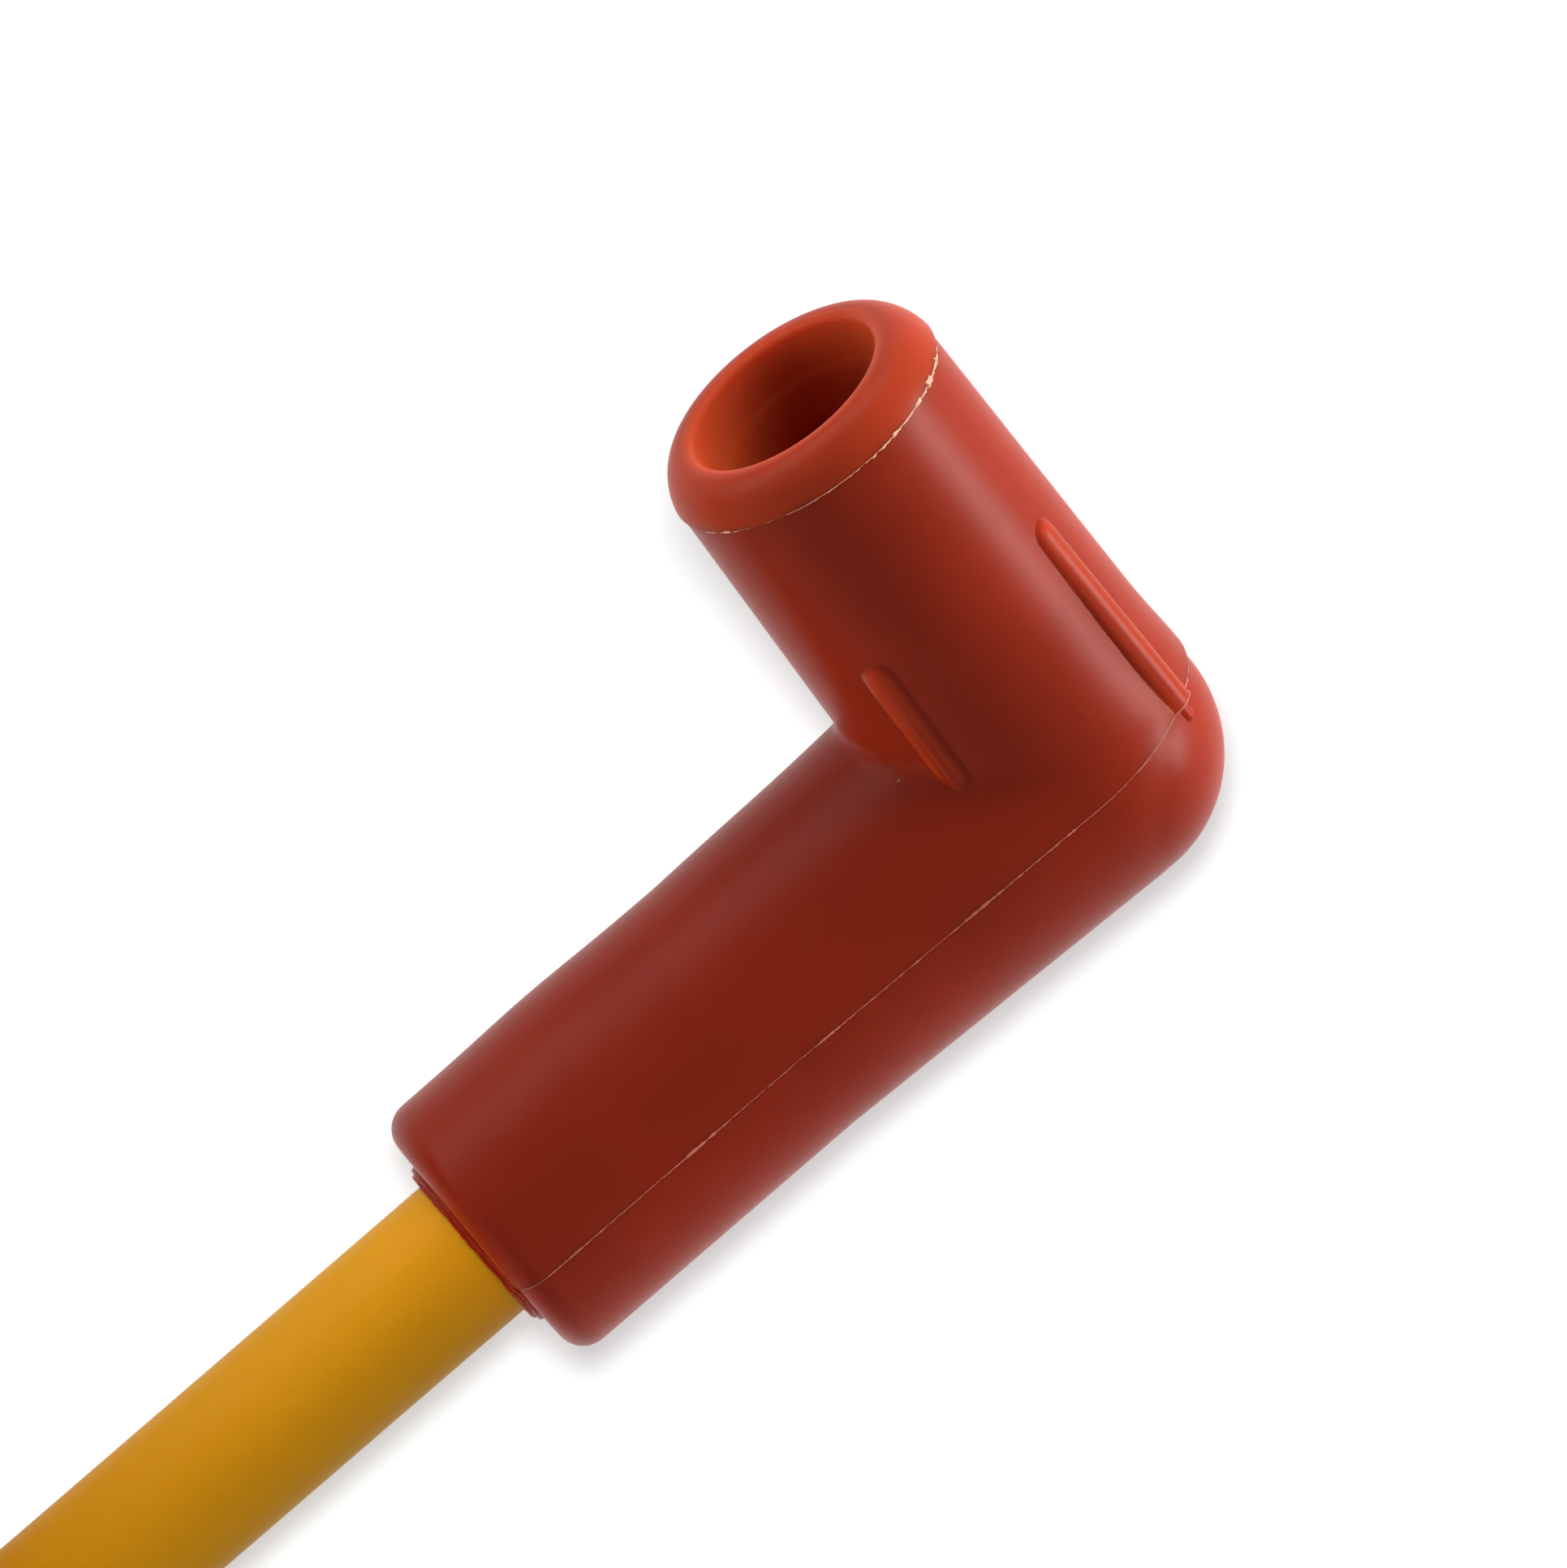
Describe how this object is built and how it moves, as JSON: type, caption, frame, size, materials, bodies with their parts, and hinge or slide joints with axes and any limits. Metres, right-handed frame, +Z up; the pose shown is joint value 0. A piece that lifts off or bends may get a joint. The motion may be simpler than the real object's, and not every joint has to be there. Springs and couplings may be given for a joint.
{
  "type": "spark plug wire",
  "caption": "Ignition lead with an elbow silicone plug boot, a coiled round cable and a straight distributor boot on its far end.",
  "frame": {"origin": "on the surface that the lead lies on, under the middle of the elbow boot with its terminal", "axes": "+X along the elbow boot's cable leg, away from the cable; +Y is the side that the plug leg leans to; +Z is up"},
  "size_m": [0.1648, 0.0984, 0.0345],
  "materials": {
    "boot_silicone": "satin",
    "cable_jacket": "satin",
    "terminal_brass": "satin",
    "clip_steel": "satin",
    "conductor_core": "matte",
    "tie_plastic": "matte"
  },
  "bodies": {
    "root": {"plug_boot": "boot_silicone", "plug_terminal": "terminal_brass", "plug_clip": "clip_steel", "plug_core": "conductor_core", "cable_end": "cable_jacket", "cable_lead": "cable_jacket", "cable_coil": "cable_jacket", "coil_tie": "tie_plastic", "cable_tail": "cable_jacket", "distributor_boot": "boot_silicone", "distributor_terminal": "terminal_brass", "distributor_core": "conductor_core"}
  },
  "joints": []
}
